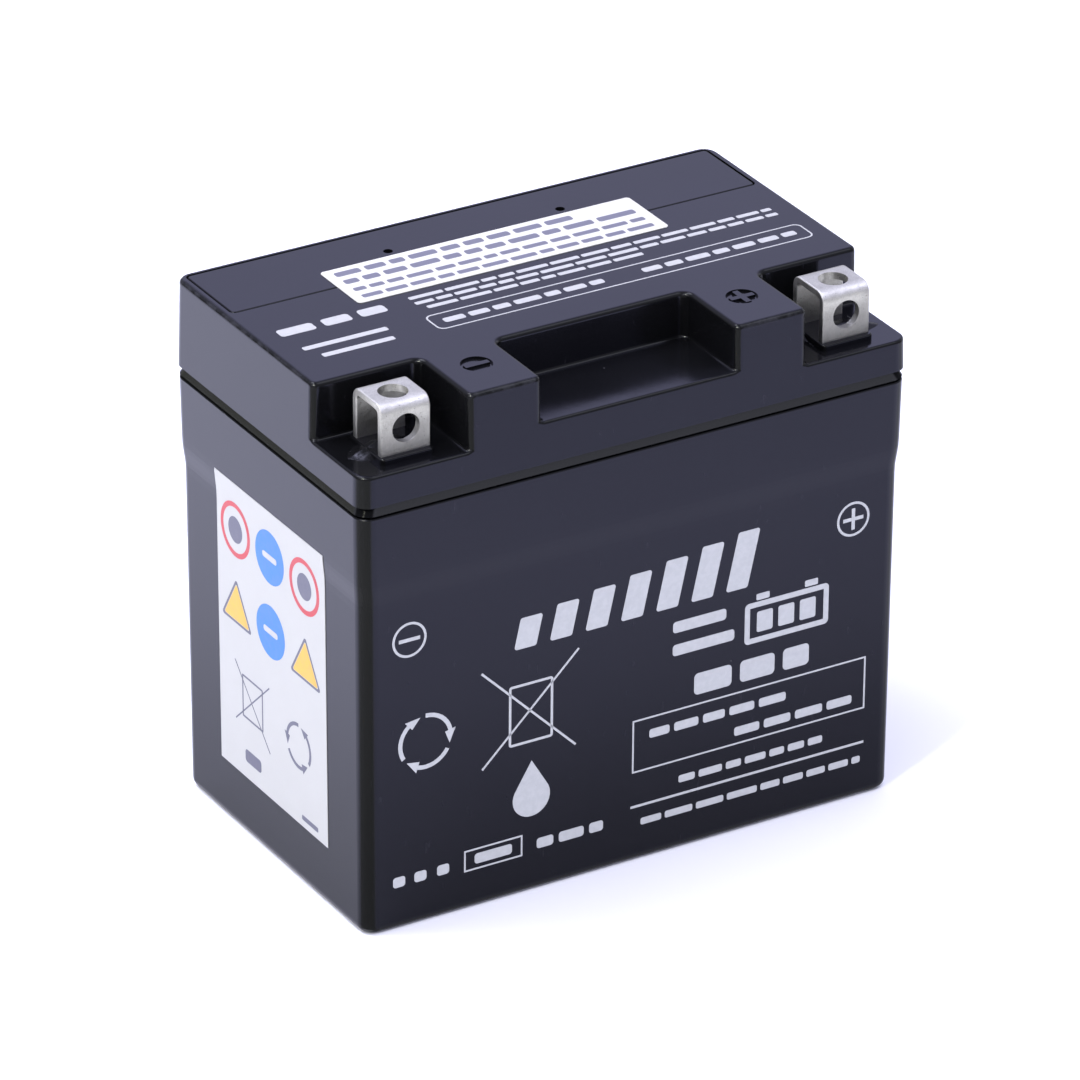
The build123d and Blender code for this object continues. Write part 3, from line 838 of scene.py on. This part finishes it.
def label_print(color_name, color, height=LABEL_INK_HEIGHT):
    """Print of one colour on the side label."""
    material = ink(color_name + "_label_ink", color)
    return SideLabelPrint("side_label_" + color_name, flat_side_label, material, height)


def side_label_marks():
    """Coloured plain marks in the places of the pictograms."""
    red = label_print("red", RED_INK)
    blue = label_print("blue", BLUE_INK)
    yellow = label_print("yellow", YELLOW_INK)
    grey = label_print("grey", GREY_INK)
    white = label_print("white", WHITE_INK, 3 * LABEL_INK_HEIGHT)
    for y in (12.8, -12.8):
        red.ring(y, 62.0, 5.5, 1.0)
        grey.solid(circle(y, 62.0, 2.6))
        triangle = [(y - 5.7, 42.8), (y + 5.7, 42.8), (y, 52.0)]
        yellow.solid(rounded(shrunk(triangle, 0.6), 0.3))
        grey.loop(rounded(triangle, 0.5), rounded(shrunk(triangle, 0.5), 0.3))
    for z in (62.1, 47.0):
        blue.solid(circle(0, z, 5.3))
        white.bar(-2.6, 2.6, z, 1.2, 0.5)
    grey.frame(3.4, 11.2, 24.6, 33.4, 0.4, 0.3)
    grey.stroke((13.8, 35.2), (0.9, 21.4), 0.3)
    grey.stroke((0.9, 35.0), (13.8, 23.0), 0.3)
    grey.bar(4.4, 10.4, 16.9, 2.6)
    grey.arrow_ring(-9.9, 28.2, 4.3, 0.75)
    grey.bar(-16.8, -10.8, 14.1, 1.0)
    for part in (red, blue, yellow, grey, white):
        part.done()


# ---- resin around the terminal feet ----

def resin_surface(middle, seed, across, turn):
    """Point on the lumpy top of the resin: across runs from 0 in the middle to 1 at the rim."""
    ray = Vector((math.cos(turn), math.sin(turn), 0))
    wander = 1 + RESIN_WANDER * mathutils_noise.noise(2.0 * ray + Vector((seed, 0, 0)))
    x = middle[0] + RESIN_REACH[0] * across * ray.x * wander
    y = middle[1] + RESIN_REACH[1] * across * ray.y * wander
    lumps = mathutils_noise.noise(Vector((x, y, 0)) / RESIN_LUMP_SIZE + Vector((0, 0, seed)))
    rise = RESIN_RISE * (1 - across ** 2) ** 1.3 + RESIN_LUMP * lumps * (1 - across ** 4)
    return Vector((x, y, middle[2] + rise))


def resin_pool(node, name, material, seed):
    """Black resin left standing around the feet of a terminal bracket."""
    low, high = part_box(node)
    outward = math.copysign(RESIN_OUTWARD, low[0])
    floor = high[2] - POCKET_DEPTH - RESIN_SUNK
    middle = Vector(((low[0] + high[0]) / 2 + outward, (low[1] + high[1]) / 2, floor))
    rings = 22
    turns = 72
    mesh = bmesh.new()
    top = mesh.verts.new(resin_surface(middle, seed, 0, 0))
    foot = mesh.verts.new(middle - RESIN_FOOT)
    circles = []
    for ring in range(1, rings + 1):
        points = [resin_surface(middle, seed, ring / rings, 2 * math.pi * t / turns) for t in range(turns)]
        circles.append([mesh.verts.new(point) for point in points])
    circles.append([mesh.verts.new(v.co - RESIN_FOOT) for v in circles[-1]])
    for t in range(turns):
        after = (t + 1) % turns
        mesh.faces.new((top, circles[0][t], circles[0][after]))
        mesh.faces.new((foot, circles[-1][after], circles[-1][t]))
        for inner, outer in zip(circles, circles[1:]):
            mesh.faces.new((inner[t], outer[t], outer[after], inner[after]))
    add_piece(name, mesh, material).data.shade_smooth()


# ---- stage, light and camera ----

def make_floor():
    bpy.ops.mesh.primitive_grid_add(x_subdivisions=2, y_subdivisions=2, size=FLOOR_SIZE)
    floor = bpy.context.object
    floor.name = "floor"
    floor.data.materials.append(floor_material("pale_floor"))


def aim(thing, place, target):
    thing.location = place
    thing.rotation_mode = "QUATERNION"
    thing.rotation_quaternion = (Vector(target) - Vector(place)).to_track_quat("-Z", "Y")


def soft_box(name, place, target, size, watts, color, spread=180):
    """Area light; spread is the full angle of its beam in degrees."""
    light = bpy.data.lights.new(name, "AREA")
    light.shape = "SQUARE"
    light.size = size
    light.spread = math.radians(spread)
    light.energy = watts
    light.color = color
    lamp = bpy.data.objects.new(name, light)
    bpy.context.scene.collection.objects.link(lamp)
    aim(lamp, place, target)


def make_light():
    """Bright tent over the table, dim low down but for a pale horizon, and three soft boxes."""
    world = bpy.data.worlds.new("studio")
    bpy.context.scene.world = world
    world.use_nodes = True
    tree = world.node_tree
    direction = tree.nodes.new("ShaderNodeTexCoord").outputs["Generated"]
    z = add(tree, "ShaderNodeSeparateXYZ", {0: direction}).outputs[2]
    tent = mix_colors(tree, remap(tree, z, 0.0, 0.5, 0, 1), LOW_TENT, HIGH_TENT)
    sky = mix_colors(tree, remap(tree, z, 0.02, 0.06, 1, 0), tent, HORIZON)
    background = tree.nodes["Background"]
    fill(tree, background.inputs["Color"], sky)
    background.inputs["Strength"].default_value = 1.0
    soft_box(
        "back_soft_box", place=(-0.50, 0.46, 1.15), target=(-0.45, 0.42, 0),
        size=0.7, watts=6.6, color=COOL_LAMP, spread=95)
    soft_box(
        "front_soft_box", place=(0.5, -0.5, 1.3), target=(0.4, -0.4, 0),
        size=0.8, watts=6.3, color=COOL_LAMP)
    soft_box(
        "small_key_box", place=(-0.80, -0.42, 0.84), target=(0, 0, 0.08),
        size=0.07, watts=3.4, color=WHITE_LAMP)


def make_camera():
    camera = bpy.data.objects.new("camera", bpy.data.cameras.new("camera"))
    bpy.context.scene.collection.objects.link(camera)
    azimuth, elevation = math.radians(CAMERA_AZIMUTH), math.radians(CAMERA_ELEVATION)
    flat = math.cos(elevation)
    back = Vector((math.sin(azimuth) * flat, -math.cos(azimuth) * flat, math.sin(elevation)))
    camera.location = Vector(CAMERA_TARGET) + back * CAMERA_DISTANCE
    camera.rotation_mode = "QUATERNION"
    roll = Matrix.Rotation(math.radians(CAMERA_ROLL), 3, "Z").to_quaternion()
    camera.rotation_quaternion = (-back).to_track_quat("-Z", "Y") @ roll
    camera.data.sensor_width = 36
    camera.data.lens = CAMERA_LENS
    camera.data.clip_end = 100
    bpy.context.scene.camera = camera
    bpy.context.scene.view_settings.view_transform = "Standard"


make_camera()
make_floor()
make_light()
paint_frame()
case_ink = ink("pale_case_ink", CASE_INK)
# the lid gets a darker copy of the pale ink: painted shade
shaded_lid_ink = ink("pale_lid_ink", SHADED_LID_INK)
front_polarity(case_ink)
front_charge_bars(case_ink)
front_battery_icon(case_ink)
front_captions(case_ink)
front_symbols(case_ink)
top_captions(shaded_lid_ink)
top_label_captions(ink("dark_label_ink", DARK_INK))
side_label_marks()
resin = pooled_resin("pooled_black_resin")
resin_pool("negative_terminal", "negative_resin_pool", resin, seed=3)
resin_pool("positive_terminal", "positive_resin_pool", resin, seed=8)
